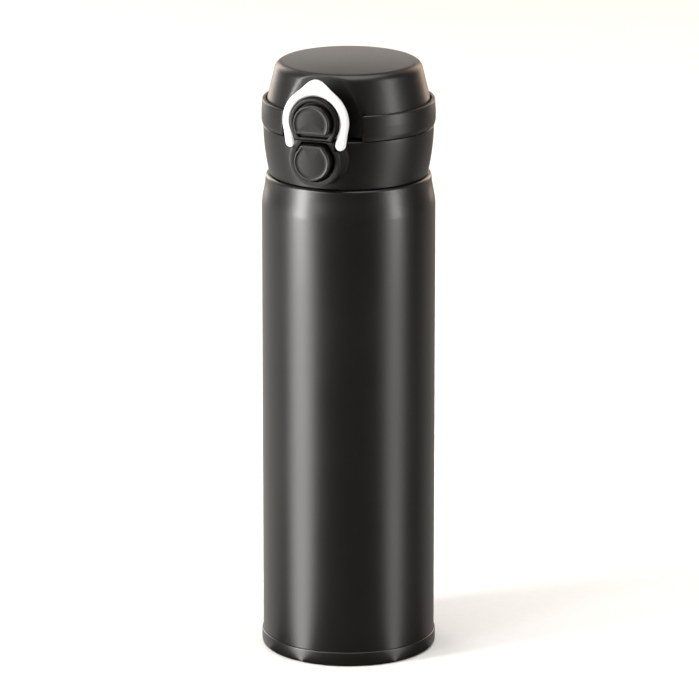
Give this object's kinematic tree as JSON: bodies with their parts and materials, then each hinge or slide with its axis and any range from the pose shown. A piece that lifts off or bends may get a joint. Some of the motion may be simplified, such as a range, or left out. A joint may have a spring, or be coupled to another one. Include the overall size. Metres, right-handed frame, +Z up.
{
  "type": "vacuum flask",
  "caption": "Double-walled steel vacuum flask with a screw-on drinking head, a hinged lid, a push-button latch and a safety ring.",
  "frame": {"origin": "centre of the base, on the face that the flask stands on", "axes": "+Z up along the bottle's axis, -Y towards the push button and lock ring, +Y towards the lid's hinge, X along the hinge pin"},
  "size_m": [0.066, 0.0768, 0.2276],
  "materials": {
    "painted_body": "satin",
    "bare_steel": "brushed",
    "dull_steel": "matte",
    "solder": "matte",
    "silicone": "matte",
    "inner_plastic": "satin",
    "satin_black": "satin",
    "pin_steel": "polished",
    "white_plastic": "gloss"
  },
  "bodies": {
    "bottle": {"outer_shell": "painted_body", "inner_liner": "bare_steel", "outer_bottom": "bare_steel", "getter": "dull_steel", "vacuum_seal": "solder", "base_cap": "painted_body"},
    "neck_seal": {"stopper_gasket": "silicone"},
    "stopper": {"stopper_plug": "inner_plastic", "spout": "inner_plastic", "spout_gasket": "silicone", "collar": "satin_black", "hinge_pin": "pin_steel", "lid_spring": "pin_steel", "latch_pin": "pin_steel", "latch_spring": "pin_steel"},
    "latch": {"latch_lever": "inner_plastic", "release_button": "satin_black"},
    "lid": {"lid_dome": "satin_black", "lid_band": "satin_black", "lid_liner": "inner_plastic", "lid_gasket": "silicone", "catch_housing": "satin_black", "catch_cap": "satin_black", "ring_pin": "pin_steel"},
    "lock_ring": {"lock_ring": "white_plastic"}
  },
  "joints": [
    {"name": "stopper_lift", "type": "slide", "parent": "bottle", "child": "neck_seal", "axis": [0, 0, 1], "range_m": [0, 0.00901]},
    {"name": "stopper_screw", "type": "hinge", "parent": "neck_seal", "child": "stopper", "pos_m": [0, 0, 0.2], "axis": [0, 0, 1], "range_deg": [0, 540]},
    {"name": "lid_hinge", "type": "hinge", "parent": "stopper", "child": "lid", "pos_m": [0, 0.033, 0.203], "axis": [-1, 0, 0], "range_deg": [0, 120]},
    {"name": "latch_press", "type": "hinge", "parent": "stopper", "child": "latch", "pos_m": [0, -0.033, 0.199], "axis": [1, 0, 0], "range_deg": [0, 7], "stiffness_Nm_per_rad": 0.3, "springref_deg": -2.86, "deforming": ["latch_spring"]},
    {"name": "lock_ring_flip", "type": "hinge", "parent": "lid", "child": "lock_ring", "pos_m": [0, -0.0352, 0.2059], "axis": [1, 0, 0], "range_deg": [0, 80]}
  ],
  "couplings": [
    {"joint": "stopper_lift", "follows": "stopper_screw", "m_per_rad": 0.00095493}
  ]
}
